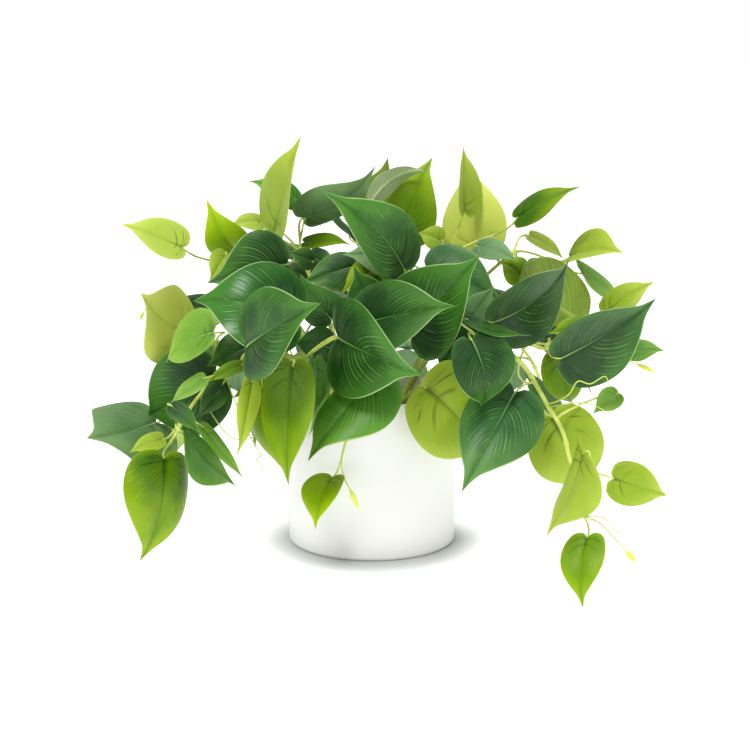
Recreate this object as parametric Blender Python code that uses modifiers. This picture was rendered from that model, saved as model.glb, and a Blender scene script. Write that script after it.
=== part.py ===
"""Potted trailing pothos: white cylindrical pot, planting soil, vines and heart-shaped leaves.

Metres, +Z up.  The pot stands on Z = 0, centred on the origin, and the plant's front faces -Y.
"""
import math

import bmesh
import bpy
from mathutils import Vector

MM = 0.001

# Pot, in millimetres.
POT_RADIUS = 60.0
POT_HEIGHT = 111.0
POT_WALL = 4.0
POT_FLOOR = 5.0
FOOT_ROUND = 3.0
RIM_ROUND = 1.2
POT_SEGMENTS = 36
ROUND_STEPS = 3

# Soil, in millimetres.
FIT_GAP = 0.3
SOIL_EDGE = 94.0
SOIL_CROWN = 97.0
SOIL_SEGMENTS = 24

# Vines and leaf stalks, in millimetres.
VINE_BASE_RADIUS = 1.9
VINE_END_RADIUS = 1.2
VINE_STEPS = 2
STALK_RADIUS = 0.9
STALK_STEPS = 3
STALK_LEAST = 14.0
STALK_STANDOFF = 0.9
STALK_BITE = 4.0
STALK_SWING = 0.4
STALK_LEAN = 0.5

# Leaf blade: margin and midrib stations from the stalk to the tip, as fractions of
# the blade length (along) and of its half width (across).
MARGIN = [(0.0, 0.0), (-0.075, 0.35), (0.0, 0.80), (0.22, 1.0), (0.50, 0.86), (0.78, 0.30), (1.0, 0.0)]
MIDRIB = [0.0, 0.0, 0.03, 0.14, 0.38, 0.72, 1.0]
BLADE_HALF = 0.45
VALLEY = 0.28
MIDDLE = 0.5

# name: (roughness, colour)
TONES = {
    "dark": (0.42, (0.045, 0.150, 0.035)),
    "mid": (0.45, (0.110, 0.290, 0.035)),
    "lime": (0.48, (0.380, 0.560, 0.075)),
    "pale": (0.55, (0.330, 0.440, 0.240)),
}
STEM_COLOUR = (0.300, 0.420, 0.060)
SOIL_COLOUR = (0.035, 0.022, 0.012)
POT_COLOUR = (0.850, 0.850, 0.840)

# Each vine: the points its centre line runs through, in millimetres, from the soil outwards.
VINES = {
    "vine_left_low": [(-24, -14, 98), (-50, -36, 128), (-90, -52, 137), (-117, -62, 119), (-134, -66, 92),
                      (-138, -69, 86)],
    "vine_left_mid": [(-30, -4, 98), (-48, -14, 132), (-89, -25, 146), (-122, -20, 150)],
    "vine_left_up": [(-28, 10, 98), (-52, 24, 150), (-88, 40, 178), (-110, 34, 192)],
    "vine_up_left": [(-14, 6, 98), (-28, 10, 150), (-44, 8, 190), (-51, 5, 208)],
    "vine_front_left": [(-16, -26, 98), (-32, -54, 124), (-50, -76, 142), (-66, -92, 146)],
    "vine_front": [(-3, -32, 98), (-8, -56, 122), (-10, -72, 134), (-12, -78, 126), (-16, -79, 96)],
    "vine_centre": [(6, -16, 98), (12, -28, 140), (22, -42, 178), (28, -48, 196)],
    "vine_up_right": [(8, 10, 98), (20, 18, 150), (40, 20, 188), (56, 20, 202)],
    "vine_right_up": [(20, 2, 98), (44, 2, 150), (78, 6, 188), (100, 5, 208)],
    "vine_right": [(26, -10, 98), (52, -24, 134), (88, -44, 154), (118, -56, 150)],
    "vine_right_low": [(14, -26, 98), (40, -46, 128), (80, -58, 150), (101, -62, 142), (119, -64, 114),
                       (130, -68, 95), (135, -74, 76), (143, -92, 60), (139, -122, 51)],
    "vine_back_left": [(-22, 22, 98), (-50, 48, 138), (-88, 78, 144), (-118, 98, 116), (-130, 108, 84)],
    "vine_back": [(-2, 30, 98), (-4, 58, 132), (-6, 92, 138), (-4, 118, 108), (2, 128, 74)],
    "vine_back_right": [(22, 22, 98), (54, 46, 138), (94, 76, 142), (122, 96, 112), (134, 104, 82)],
    "vine_back_top": [(2, 16, 98), (0, 30, 150), (-6, 44, 192), (-8, 50, 206)],
}

# Each leaf: name, vine, tone, stalk end, tip, blade width, the way its face looks
# (turn from the front towards +X, then lift, in degrees), rise of the midrib over
# the straight line, and droop of the margins.  Lengths in millimetres.
LEAVES = [
    ("leaf_quill", "vine_left_up", "pale", (-133, -1, 212), (-175, -7, 230), 35, (-10, 51), 0.5, 0.10),
    ("leaf_vivid", "vine_left_up", "lime", (-100, 43, 205), (-118, 19, 245), 31, (-14, 26), 9.5, 0.25),
    ("leaf_tall", "vine_up_left", "lime", (-69, 14, 221), (-49, -10, 291), 57, (25, 67), 1.5, 0.10),
    ("leaf_crest_left", "vine_up_left", "dark", (-47, 24, 230), (3, 19, 268), 40, (48, -8), 7.5, 0.60),
    ("leaf_crest_pale", "vine_back_top", "pale", (1, 31, 244), (41, 25, 263), 24, (180, 50), 9.5, 0.30),
    ("leaf_crown", "vine_back_top", "mid", (22, 41, 215), (44, 43, 272), 48, (-24, 17), 6, 0.30),
    ("leaf_high", "vine_right_up", "lime", (75, 40, 203), (69, 43, 269), 47, (-2, 15), 5.5, 0.25),
    ("leaf_spear", "vine_up_right", "mid", (66, 18, 235), (65, 24, 282), 38, (61, 8), -0.5, 0.00),
    ("leaf_wing", "vine_up_right", "dark", (103, 10, 232), (146, -2, 255), 26, (-10, 50), 4, 0.40),
    ("leaf_flag", "vine_right_up", "mid", (142, 25, 202), (177, -7, 209), 42, (7, 50), 4.5, 0.05),
    ("leaf_drop", "vine_up_right", "mid", (150, 12, 192), (186, 38, 163), 45, (53, 56), 2, 0.30),
    ("leaf_edge", "vine_right", "lime", (165, -7, 167), (199, -12, 190), 24, (-10, 40), 3, 0.30),
    ("leaf_right", "vine_right", "dark", (126, -83, 149), (190, -76, 188), 61, (32, -14), 4, 0.00),
    ("leaf_back_right_a", "vine_right", "pale", (145, -10, 162), (103, -53, 210), 62, (186, -25), 13, 0.15),
    ("leaf_shoulder", "vine_right", "dark", (81, -81, 173), (134, -52, 212), 60, (33, -24), 8.5, 0.10),
    ("leaf_heart", "vine_centre", "dark", (27, -68, 163), (70, -104, 221), 58, (1, 28), 1, 0.00),
    ("leaf_blue", "vine_centre", "dark", (38, -26, 201), (91, -34, 179), 46, (5, 22), 7, 0.35),
    ("leaf_top", "vine_centre", "dark", (22, -58, 205), (-34, -81, 261), 45, (3, 31), 13, 0.05),
    ("leaf_under_top", "vine_centre", "pale", (21, -42, 208), (-20, -48, 214), 31, (-5, 35), 3, 0.30),
    ("leaf_mid", "vine_front_left", "dark", (-8, -89, 173), (54, -114, 190), 52, (0, 33), 3, 0.20),
    ("leaf_bright", "vine_front_left", "dark", (-22, -94, 165), (32, -149, 151), 66, (-4, -7), 6, 0.10),
    ("leaf_front_low", "vine_front", "dark", (3, -92, 140), (-42, -117, 87), 58, (-43, 23), 2.5, 0.65),
    ("leaf_hanging", "vine_front", "mid", (-27, -72, 64), (-38, -95, 34), 31, (-32, 8), 5, 0.00),
    ("leaf_long", "vine_front_left", "mid", (-51, -109, 149), (-55, -119, 70), 60, (-52, 3), 1.5, 0.25),
    ("leaf_sliver", "vine_front_left", "mid", (-38, -80, 147), (-42, -88, 97), 39, (71, 2), 4, 0.20),
    ("leaf_lower", "vine_left_low", "mid", (-74, -75, 127), (-60, -67, 67), 49, (-46, 8), 4.5, 0.50),
    ("leaf_front", "vine_left_low", "dark", (-80, -113, 164), (-31, -162, 200), 59, (-14, 28), 3, 0.20),
    ("leaf_round", "vine_front_left", "dark", (-50, -81, 176), (-119, -75, 186), 65, (-15, 36), 14, 0.25),
    ("leaf_arched", "vine_up_left", "dark", (-58, -41, 206), (-111, -60, 196), 53, (-10, 9), 8.5, 0.45),
    ("leaf_lime_left", "vine_left_mid", "lime", (-133, -10, 151), (-155, -58, 189), 57, (-12, 34),
     -2.5, 0.40),
    ("leaf_green_left", "vine_left_mid", "mid", (-107, -64, 163), (-142, -43, 138), 44, (-27, 46), 4, 0.05),
    ("leaf_low_left", "vine_left_low", "dark", (-108, -43, 129), (-159, -13, 94), 61, (-7, 4), 11, 0.20),
    ("leaf_far_left", "vine_left_mid", "dark", (-153, -14, 89), (-192, -82, 94), 68, (-6, 30), -2, 0.60),
    ("leaf_trail_left", "vine_left_low", "mid", (-140, -82, 80), (-158, -89, 9), 57, (45, -2), 9, 0.55),
    ("leaf_fold_left", "vine_left_low", "mid", (-124, -105, 104), (-92, -62, 55), 50, (17, 54), -3, 0.45),
    ("leaf_olive", "vine_right_low", "lime", (37, -75, 127), (78, -35, 76), 65, (7, 18), 14, 0.25),
    ("leaf_under_heart", "vine_right_low", "dark", (66, -99, 164), (72, -88, 117), 45, (21, 22), 14, 0.10),
    ("leaf_green_right", "vine_right_low", "dark", (96, -80, 125), (59, -117, 66), 55, (-13, 20), 6.5, 0.70),
    ("leaf_lime_right", "vine_right_low", "lime", (124, -54, 102), (149, -33, 47), 53, (0, 10), 12.5, 0.10),
    ("leaf_kite", "vine_right_low", "mid", (139, -112, 91), (116, -101, 31), 56, (-72, 29), -3, 0.60),
    ("leaf_side_right", "vine_right_low", "lime", (166, -64, 61), (204, -60, 48), 31, (-5, 9), 5.5, 0.35),
    ("leaf_trail_right", "vine_right_low", "mid", (138, -152, 46), (134, -173, 5), 29, (-25, 15), 7, 0.30),
    ("leaf_behind_right", "vine_right", "mid", (128, -53, 145), (139, -40, 109), 29, (-19, 13), 11, 0.35),
]

# Smaller leaves and the leaves of the far side, moulded in one piece with their vine.
MOULDED_LEAVES = [
    ("curl", "vine_left_up", "lime", (-104, 12, 206), (-115, 0, 188), 18, (20, 25), 2, 0.35),
    ("peek", "vine_up_left", "pale", (-80, 45, 225), (-103, 35, 223), 17, (-20, 35), 2, 0.35),
    ("crest_far", "vine_up_left", "dark", (-54, 50, 240), (-90, 45, 254), 25, (-10, 50), 4, 0.40),
    ("slip_left", "vine_up_left", "dark", (-41, -20, 205), (-58, -28, 213), 16, (-10, 30), 2, 0.35),
    ("slip_right", "vine_up_left", "dark", (-44, -4, 207), (-24, -18, 197), 19, (0, 30), 2, 0.35),
    ("bridge", "vine_up_left", "mid", (-48, 22, 213), (-14, 18, 211), 24, (0, 70), 3, 0.35),
    ("shade", "vine_front_left", "dark", (-27, -54, 170), (-48, -60, 202), 30, (-20, 15), 4, 0.35),
    ("small_low", "vine_left_low", "lime", (-80, -82, 133), (-90, -94, 84), 18, (40, 10), 3, 0.30),
    ("small_light", "vine_left_low", "mid", (-112, -80, 135), (-135, -86, 118), 14, (-20, 40), 2, 0.30),
    ("small_dark", "vine_left_low", "dark", (-132, -98, 120), (-113, -106, 103), 14, (10, 40), 2, 0.30),
    ("small_lime", "vine_left_low", "lime", (-143, -64, 89), (-165, -70, 81), 17, (-10, 50), 2, 0.30),
    ("fold_back", "vine_left_low", "pale", (-116, -54, 95), (-88, -50, 56), 11, (20, 25), 3, 0.30),
    ("knot", "vine_right_low", "mid", (169, -50, 118), (151, -58, 105), 17, (0, 30), 2, 0.30),
    ("spur", "vine_right", "mid", (176, -48, 147), (200, -56, 149), 18, (10, 40), 2, 0.30),
    ("drop_pale", "vine_right_up", "pale", (114, 30, 217), (139, 25, 199), 15, (30, 40), 2, 0.30),
    ("grey", "vine_right_up", "pale", (74, -7, 214), (102, -19, 204), 21, (10, 45), 3, 0.35),
    ("grey_low", "vine_centre", "pale", (66, -48, 168), (83, -54, 194), 22, (5, 20), 3, 0.35),
    ("side_left_high", "vine_left_mid", "dark", (-112, 14, 164), (-158, 34, 158), 44, (275, 45), 6, 0.40),
    ("side_left_low", "vine_left_mid", "mid", (-112, 0, 136), (-146, 14, 92), 42, (280, 20), 6, 0.40),
    ("side_right_high", "vine_right_up", "mid", (118, 34, 190), (158, 52, 166), 42, (70, 40), 6, 0.40),
    ("side_right_mid", "vine_right", "dark", (126, -39, 150), (165, -13, 128), 43, (75, 35), 6, 0.40),
    ("side_right_low", "vine_right", "mid", (112, -18, 118), (146, 4, 72), 42, (85, 20), 6, 0.40),
    ("bank_left_a", "vine_left_up", "dark", (-67, 61, 166), (-105, 103, 159), 51, (205, 45), 8, 0.45),
    ("bank_left_b", "vine_back_left", "mid", (-108, 92, 148), (-154, 112, 122), 46, (235, 30), 7, 0.40),
    ("bank_left_c", "vine_back_left", "dark", (-122, 72, 130), (-164, 66, 92), 42, (270, 25), 6, 0.40),
    ("bank_left_d", "vine_back_left", "dark", (-98, 108, 114), (-84, 140, 62), 48, (190, 15), 7, 0.40),
    ("bank_left_e", "vine_back_left", "mid", (-60, 82, 118), (-52, 116, 66), 46, (180, 15), 7, 0.40),
    ("bank_left_f", "vine_back_left", "lime", (-138, 114, 72), (-160, 128, 18), 42, (225, 20), 6, 0.40),
    ("bank_a", "vine_back", "dark", (-8, 105, 155), (-35, 149, 149), 55, (188, 45), 8, 0.45),
    ("bank_b", "vine_back", "mid", (12, 100, 146), (48, 138, 122), 50, (165, 30), 7, 0.40),
    ("bank_c", "vine_back", "dark", (-14, 118, 122), (-36, 146, 76), 48, (190, 15), 7, 0.40),
    ("bank_d", "vine_back", "lime", (6, 134, 66), (10, 152, 12), 42, (180, 15), 6, 0.40),
    ("bank_e", "vine_back", "dark", (16, 120, 110), (40, 142, 58), 44, (170, 15), 6, 0.40),
    ("bank_right_a", "vine_back_right", "dark", (68, 65, 163), (99, 111, 155), 52, (155, 45), 8, 0.45),
    ("bank_right_b", "vine_back_right", "mid", (110, 88, 146), (156, 108, 122), 46, (125, 30), 7, 0.40),
    ("bank_right_c", "vine_back_right", "dark", (124, 66, 130), (166, 56, 92), 42, (90, 25), 6, 0.40),
    ("bank_right_d", "vine_back_right", "dark", (100, 106, 112), (88, 140, 60), 48, (170, 15), 7, 0.40),
    ("bank_right_e", "vine_back_right", "lime", (140, 112, 70), (160, 128, 18), 40, (135, 20), 6, 0.40),
    ("back_top_a", "vine_back_top", "dark", (-16, 64, 212), (-52, 100, 226), 48, (200, 40), 8, 0.45),
    ("back_top_b", "vine_back_top", "mid", (0, 66, 218), (12, 88, 268), 42, (175, 20), 6, 0.35),
    ("back_top_c", "vine_back_top", "dark", (14, 62, 200), (56, 92, 206), 50, (160, 40), 8, 0.45),
    ("back_top_d", "vine_back_top", "mid", (-32, 60, 190), (-84, 78, 192), 50, (215, 45), 8, 0.40),
    ("back_top_e", "vine_back_top", "dark", (-4, 78, 184), (-20, 122, 182), 52, (185, 45), 8, 0.45),
    ("inner_a", "vine_back_top", "dark", (12, 31, 183), (48, 55, 181), 42, (120, 75), 6, 0.45),
    ("inner_c", "vine_up_left", "dark", (-42, 19, 183), (-76, 23, 191), 40, (300, 65), 7, 0.45),
    ("inner_d", "vine_right_up", "mid", (58, -10, 168), (94, -22, 160), 40, (40, 65), 6, 0.45),
    ("inner_e", "vine_left_up", "dark", (-70, 2, 170), (-112, -6, 156), 44, (300, 55), 6, 0.45),
    ("inner_f", "vine_right_up", "dark", (72, 22, 172), (110, 36, 154), 46, (60, 50), 6, 0.45),
    ("inner_g", "vine_back_left", "mid", (-44, 58, 158), (-84, 52, 146), 44, (240, 60), 6, 0.45),
    ("inner_h", "vine_back_right", "mid", (46, 54, 160), (84, 46, 146), 44, (120, 60), 6, 0.45),
    ("inner_i", "vine_back", "dark", (8, 58, 152), (44, 84, 150), 46, (160, 60), 6, 0.45),
    ("inner_j", "vine_centre", "dark", (2, -55, 174), (-12, -62, 208), 32, (0, 15), 4, 0.40),
    ("skirt_a", "vine_left_mid", "dark", (-59, 24, 122), (-71, 34, 84), 34, (280, 15), 6, 0.40),
    ("skirt_b", "vine_left_low", "mid", (-68, -22, 118), (-82, -28, 72), 38, (300, 15), 5, 0.40),
    ("skirt_c", "vine_right", "dark", (74, 2, 126), (94, 12, 80), 44, (85, 15), 6, 0.40),
    ("skirt_d", "vine_back_right", "lime", (80, 42, 122), (96, 58, 76), 42, (110, 15), 6, 0.40),
    ("skirt_e", "vine_back_left", "lime", (-78, 48, 122), (-94, 64, 76), 42, (250, 15), 6, 0.40),
    ("inner_b", "vine_centre", "mid", (6, -27, 195), (-30, -3, 197), 42, (0, 80), 6, 0.45),
    ("gap_a", "vine_front_left", "dark", (-27, -58, 151), (-54, -64, 156), 28, (0, 25), 4, 0.35),
    ("gap_b", "vine_centre", "dark", (-11, -35, 204), (-48, -43, 193), 28, (-10, 30), 4, 0.40),
    ("gap_c", "vine_up_right", "lime", (6, -41, 205), (-21, -47, 187), 24, (-10, 25), 4, 0.35),
    ("gap_d", "vine_centre", "dark", (61, -56, 173), (45, -68, 135), 34, (10, 15), 4, 0.40),
    ("gap_e", "vine_right", "dark", (90, -39, 157), (55, -47, 160), 26, (5, 20), 3, 0.40),
    ("gap_f", "vine_left_mid", "dark", (-83, -38, 149), (-114, -46, 136), 30, (-10, 20), 4, 0.40),
    ("gap_g", "vine_left_low", "dark", (-101, -60, 127), (-119, -66, 104), 17, (20, 15), 3, 0.35),
    ("gap_h", "vine_left_mid", "pale", (-115, -40, 110), (-110, -42, 88), 13, (10, 15), 2, 0.30),
    ("gap_l", "vine_left_low", "lime", (-88, -64, 141), (-113, -70, 129), 10, (0, 30), 2, 0.30),
    ("gap_m", "vine_left_low", "lime", (-74, -48, 124), (-96, -54, 115), 13, (0, 30), 2, 0.30),
    ("spike", "vine_back_top", "lime", (-11, 48, 238), (-13, 46, 253), 6, (0, 10), 1, 0.20),
    ("front_lobe", "vine_right_low", "dark", (63, -92, 177), (105, -96, 167), 13, (0, 62), -3, 0.30),
    ("lime_bit", "vine_up_right", "lime", (50, 24, 214), (33, 28, 219), 18, (0, 20), 2, 0.30),
    ("gap_n", "vine_right_up", "dark", (106, -6, 193), (90, -2, 202), 22, (10, 20), 3, 0.35),
    ("gap_o", "vine_right", "mid", (122, -38, 154), (103, -44, 151), 16, (0, 25), 2, 0.35),
    ("gap_p", "vine_right", "lime", (149, -30, 161), (122, -36, 157), 18, (0, 30), 2, 0.35),
    ("top_a", "vine_back_top", "dark", (-4, 28, 190), (-38, 20, 194), 38, (330, 70), 6, 0.45),
    ("top_c", "vine_back_top", "mid", (-18, 43, 178), (-54, 55, 182), 42, (250, 65), 6, 0.45),
    ("top_d", "vine_back_top", "dark", (22, 61, 172), (57, 75, 176), 42, (140, 65), 6, 0.45),
    ("bank_f", "vine_back", "mid", (-26, 94, 130), (-60, 126, 100), 46, (205, 25), 7, 0.40),
    ("bank_g", "vine_back", "dark", (30, 92, 130), (64, 126, 102), 46, (155, 25), 7, 0.40),
    ("bank_h", "vine_back", "dark", (-30, 73, 170), (-66, 101, 150), 46, (205, 35), 7, 0.45),
    ("bank_i", "vine_back_top", "mid", (26, 81, 168), (64, 105, 149), 46, (150, 35), 7, 0.45),
    ("top_b", "vine_right_up", "dark", (34, -8, 176), (60, -20, 170), 34, (20, 72), 5, 0.45),
]


def blade_local(length, width, rise, droop, along, across):
    """Point of the sheet: x along the chord, y across it, z out of the face."""
    half = width / 2
    side = abs(across)
    lift = VALLEY * side * half - droop * side * side * half + 4 * rise * along * (1 - along)
    return Vector((along * length, across * half, lift))


def leaf_axes(base, tip, face):
    """Directions of a leaf: along it, across it and out of its face."""
    turn = math.radians(face[0])
    lift = math.radians(face[1])
    ahead = (tip - base).normalized()
    out = Vector((math.sin(turn) * math.cos(lift), -math.cos(turn) * math.cos(lift), math.sin(lift)))
    out = (out - ahead * out.dot(ahead)).normalized()
    return ahead, out.cross(ahead), out


def new_object(name, mesh, material, smooth=False):
    for polygon in mesh.polygons:
        polygon.use_smooth = smooth
    mesh.materials.clear()
    mesh.materials.append(material)
    obj = bpy.data.objects.new(name, mesh)
    plant.objects.link(obj)
    return obj


def leaf_mesh(name, base, tip, width, face, rise, droop):
    """Closed blade: two curved sheets that meet along the margin, thickest at the midrib."""
    ahead, side, out = leaf_axes(base, tip, face)
    length = (tip - base).length
    mesh = bpy.data.meshes.new(name)
    work = bmesh.new()

    def vertex(along, across, offset):
        local = blade_local(length, width, rise, droop, along, across)
        spot = base + ahead * local.x + side * local.y + out * (local.z + offset)
        return work.verts.new(spot * MM)

    last = len(MARGIN) - 1
    stalk_end = vertex(0.0, 0.0, 0.0)
    point = vertex(1.0, 0.0, 0.0)
    ribs = {}
    for sheet in (1, -1):
        ribs[sheet] = [stalk_end, stalk_end]
        ribs[sheet] += [vertex(MIDRIB[i], 0.0, sheet * BLADE_HALF) for i in range(2, last)]
        ribs[sheet].append(point)
    for hand in (1, -1):
        margin = [stalk_end]
        margin += [vertex(MARGIN[i][0], hand * MARGIN[i][1], 0.0) for i in range(1, last)]
        margin += [point]
        for sheet in (1, -1):
            rib = ribs[sheet]
            middle = [stalk_end]
            for i in range(1, last):
                along = MIDRIB[i] + (MARGIN[i][0] - MIDRIB[i]) * MIDDLE * MIDDLE
                middle.append(vertex(along, hand * MARGIN[i][1] * MIDDLE, sheet * BLADE_HALF))
            middle.append(point)
            for inner, outer in ((rib, middle), (middle, margin)):
                for i in range(last):
                    corners = []
                    for corner in (inner[i], outer[i], outer[i + 1], inner[i + 1]):
                        if corner not in corners:
                            corners.append(corner)
                    if len(corners) < 3:
                        continue
                    if hand * sheet > 0:
                        corners.reverse()
                    work.faces.new(corners)
    bmesh.ops.triangulate(work, faces=work.faces)
    bmesh.ops.recalc_face_normals(work, faces=work.faces)
    work.to_mesh(mesh)
    work.free()
    return mesh


def smooth_path(points, steps):
    """Catmull-Rom points through the given ones."""
    path = []
    last = len(points) - 1
    for i in range(last):
        before = points[max(i - 1, 0)]
        start = points[i]
        end = points[i + 1]
        after = points[min(i + 2, last)]
        for k in range(steps):
            t = k / steps
            path.append(0.5 * (
                2 * start + (end - before) * t
                + (2 * before - 5 * start + 4 * end - after) * t * t
                + (3 * start - before - 3 * end + after) * t ** 3
            ))
    path.append(points[last])
    return path


def tube(name, path, start_radius, end_radius, resolution):
    """Round bar along a path, made from a bevelled curve with filled ends."""
    curve = bpy.data.curves.new(name, "CURVE")
    curve.dimensions = "3D"
    curve.bevel_depth = MM
    curve.bevel_resolution = resolution
    curve.use_fill_caps = True
    spline = curve.splines.new("POLY")
    spline.points.add(len(path) - 1)
    for i, spot in enumerate(path):
        share = i / (len(path) - 1)
        spline.points[i].co = (*(spot * MM), 1.0)
        spline.points[i].radius = start_radius + (end_radius - start_radius) * share
    holder = bpy.data.objects.new(name, curve)
    plant.objects.link(holder)
    bpy.context.view_layer.update()
    mesh = bpy.data.meshes.new_from_object(holder.evaluated_get(bpy.context.evaluated_depsgraph_get()))
    bpy.data.objects.remove(holder)
    work = bmesh.new()
    work.from_mesh(mesh)
    bmesh.ops.remove_doubles(work, verts=work.verts, dist=0.00001)
    bmesh.ops.recalc_face_normals(work, faces=work.faces)
    work.to_mesh(mesh)
    work.free()
    return mesh


def unite(body, mesh):
    """Merge a closed mesh into the body object."""
    other = bpy.data.objects.new("joined", mesh)
    other.hide_render = True
    other.display_type = "WIRE"
    cutters.objects.link(other)
    joint = body.modifiers.new("joint", "BOOLEAN")
    joint.operation = "UNION"
    joint.solver = "EXACT"
    joint.object = other
    bpy.context.view_layer.update()
    merged = bpy.data.meshes.new_from_object(body.evaluated_get(bpy.context.evaluated_depsgraph_get()))
    body.modifiers.clear()
    body.data = merged
    bpy.data.objects.remove(other)


def stalk_path(vine_path, base, tip, face, rise, reach):
    """Curve from the vine to the leaf, arriving from behind the blade in line with its midrib."""
    ahead, side, out = leaf_axes(base, tip, face)
    length = (tip - base).length
    slope = 4 * rise / length
    open_points = [spot for spot in vine_path[1:] if (spot - base).length > STALK_LEAST]
    start = min(open_points, key=lambda spot: (spot - base).length)
    arrival = (ahead + out * (slope + STALK_LEAN)).normalized()
    end = base + ahead * reach + out * slope * reach * (1 - reach / length)
    pull = (end - start).length * STALK_SWING
    first = start + (end - start) * 0.3 + Vector((0, 0, pull * 0.3))
    second = end - arrival * pull
    path = []
    for k in range(STALK_STEPS + 1):
        t = k / STALK_STEPS
        path.append(
            start * (1 - t) ** 3 + first * 3 * t * (1 - t) ** 2 + second * 3 * t * t * (1 - t) + end * t ** 3
        )
    return path


def lathe(name, profile, segments, material):
    """Turned body from a profile of (radius, height) points in millimetres, run down the outer side."""
    mesh = bpy.data.meshes.new(name)
    spots = [(r * MM, 0.0, z * MM) for r, z in profile]
    mesh.from_pydata(spots, [(i, i + 1) for i in range(len(spots) - 1)], [])
    obj = new_object(name, mesh, material)
    screw = obj.modifiers.new("turn", "SCREW")
    screw.axis = "Z"
    screw.angle = math.tau
    screw.steps = segments
    screw.render_steps = segments
    screw.use_merge_vertices = True
    screw.merge_threshold = 0.00005
    screw.use_smooth_shade = True
    return obj


def corner(centre, radius, start, end):
    """Quarter-round points about a centre, from one angle to another in degrees."""
    points = []
    for k in range(ROUND_STEPS + 1):
        angle = math.radians(start + (end - start) * k / ROUND_STEPS)
        points.append((centre[0] + radius * math.cos(angle), centre[1] + radius * math.sin(angle)))
    return points


def principled(name, roughness, colour):
    material = bpy.data.materials.new(name)
    material.use_nodes = True
    shader = next(n for n in material.node_tree.nodes if n.type == "BSDF_PRINCIPLED")
    shader.inputs["Base Color"].default_value = (*colour, 1.0)
    shader.inputs["Roughness"].default_value = roughness
    shader.inputs["Metallic"].default_value = 0.0
    return material


def build_pot():
    inner = POT_RADIUS - POT_WALL
    profile = [(0.0, POT_FLOOR), (inner, POT_FLOOR)]
    profile += corner((inner + RIM_ROUND, POT_HEIGHT - RIM_ROUND), RIM_ROUND, 180, 90)
    profile += corner((POT_RADIUS - RIM_ROUND, POT_HEIGHT - RIM_ROUND), RIM_ROUND, 90, 0)
    profile += corner((POT_RADIUS - FOOT_ROUND, FOOT_ROUND), FOOT_ROUND, 0, -90)
    profile.append((0.0, 0.0))
    lathe("pot", profile, POT_SEGMENTS, principled("pot", 0.35, POT_COLOUR))


def build_soil():
    edge = POT_RADIUS - POT_WALL - FIT_GAP
    floor = POT_FLOOR + FIT_GAP
    profile = [(0.0, SOIL_CROWN), (edge * 0.6, SOIL_CROWN - 0.5), (edge, SOIL_EDGE)]
    profile += [(edge, floor), (0.0, floor)]
    lathe("soil", profile, SOIL_SEGMENTS, principled("soil", 0.95, SOIL_COLOUR))


def build_vines():
    stem = principled("stem", 0.5, STEM_COLOUR)
    for name, points in VINES.items():
        path = smooth_path([Vector(spot) for spot in points], VINE_STEPS)
        body = new_object(name, tube(name, path, VINE_BASE_RADIUS, VINE_END_RADIUS, 1), stem, smooth=True)
        for _, vine, _, base, tip, _, face, rise, _ in LEAVES:
            if vine == name:
                stalk = stalk_path(path, Vector(base), Vector(tip), face, rise, -STALK_STANDOFF)
                unite(body, tube("stalk", stalk, STALK_RADIUS, STALK_RADIUS, 0))
        for leaf, vine, _, base, tip, width, face, rise, droop in MOULDED_LEAVES:
            if vine == name:
                stalk = stalk_path(path, Vector(base), Vector(tip), face, rise, STALK_BITE)
                unite(body, tube("stalk", stalk, STALK_RADIUS, STALK_RADIUS, 0))
                unite(body, leaf_mesh(leaf, Vector(base), Vector(tip), width, face, rise, droop))


def build_leaves():
    tones = {tone: principled("leaf_" + tone, look[0], look[1]) for tone, look in TONES.items()}
    for name, _, tone, base, tip, width, face, rise, droop in LEAVES:
        mesh = leaf_mesh(name, Vector(base), Vector(tip), width, face, rise, droop)
        new_object(name, mesh, tones[tone], smooth=True)


for old in list(bpy.data.objects):
    bpy.data.objects.remove(old)

plant = bpy.data.collections.new("potted_pothos")
bpy.context.scene.collection.children.link(plant)
cutters = bpy.data.collections.new("cutters")
bpy.context.scene.collection.children.link(cutters)

build_pot()
build_soil()
build_vines()
build_leaves()
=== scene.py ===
import math
import random

import bmesh
import bpy
import numpy as np
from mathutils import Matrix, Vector, noise


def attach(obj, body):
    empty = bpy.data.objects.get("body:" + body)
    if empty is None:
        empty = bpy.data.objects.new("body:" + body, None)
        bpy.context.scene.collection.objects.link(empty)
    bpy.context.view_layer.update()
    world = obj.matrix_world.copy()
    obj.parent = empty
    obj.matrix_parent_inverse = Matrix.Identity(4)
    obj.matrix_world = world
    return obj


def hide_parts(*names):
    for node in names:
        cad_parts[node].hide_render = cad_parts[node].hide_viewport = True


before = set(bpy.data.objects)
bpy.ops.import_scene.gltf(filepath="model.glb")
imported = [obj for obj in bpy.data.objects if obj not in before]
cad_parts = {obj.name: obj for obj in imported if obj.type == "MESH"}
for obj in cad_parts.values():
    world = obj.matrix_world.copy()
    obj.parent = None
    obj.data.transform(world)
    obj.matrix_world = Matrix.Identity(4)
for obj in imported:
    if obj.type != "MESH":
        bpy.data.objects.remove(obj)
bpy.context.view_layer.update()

MM = 0.001
WHITE = (1.0, 1.0, 1.0, 1.0)

# Camera: place in metres, tilt down in degrees, lens and sensor in millimetres.
CAMERA_PLACE = (0.0023, -1.243, 0.380)
CAMERA_DIP = 11.8
CAMERA_LENS = 85.3
SENSOR = 36.0
CAMERA_CLIP = (0.02, 60.0)

# Each light: name, place, the point it looks at, width, power.  Metres and watts.
LIGHTS = [
    ("key", (-0.7, -1.5, 2.0), (0.0, 0.0, 0.15), 0.9, 42.0),
    ("fill", (1.6, -1.2, 0.9), (0.0, 0.0, 0.15), 1.2, 8.0),
    ("top", (0.3, 0.3, 2.2), (0.0, 0.0, 0.1), 1.4, 22.0),
]
WORLD_LIGHT = 0.45
WORLD_SEEN = 1.0

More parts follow.
